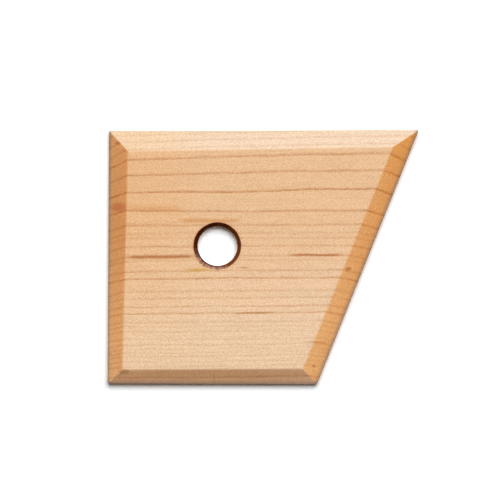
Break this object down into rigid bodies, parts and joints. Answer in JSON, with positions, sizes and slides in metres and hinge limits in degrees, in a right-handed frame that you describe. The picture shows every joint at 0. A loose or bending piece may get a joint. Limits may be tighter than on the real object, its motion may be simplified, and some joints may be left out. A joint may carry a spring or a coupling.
{
  "type": "pottery rib",
  "caption": "Flat hardwood shaping rib with a right-trapezoid outline, bevelled on one face towards all four edges, and a finger hole near the middle.",
  "frame": {"origin": "on the flat back, at the centre of the board's bounding box", "axes": "+X along the long edge towards the acute tip, +Y from the short edge to the long edge, +Z out of the bevelled face"},
  "size_m": [0.125, 0.1022, 0.0063],
  "materials": {
    "maple": "sanded hard maple with a thin satin oil finish, end grain on the two short edges, and a charred rim round the finger hole"
  },
  "bodies": {
    "root": {"rib": "maple"}
  },
  "joints": []
}
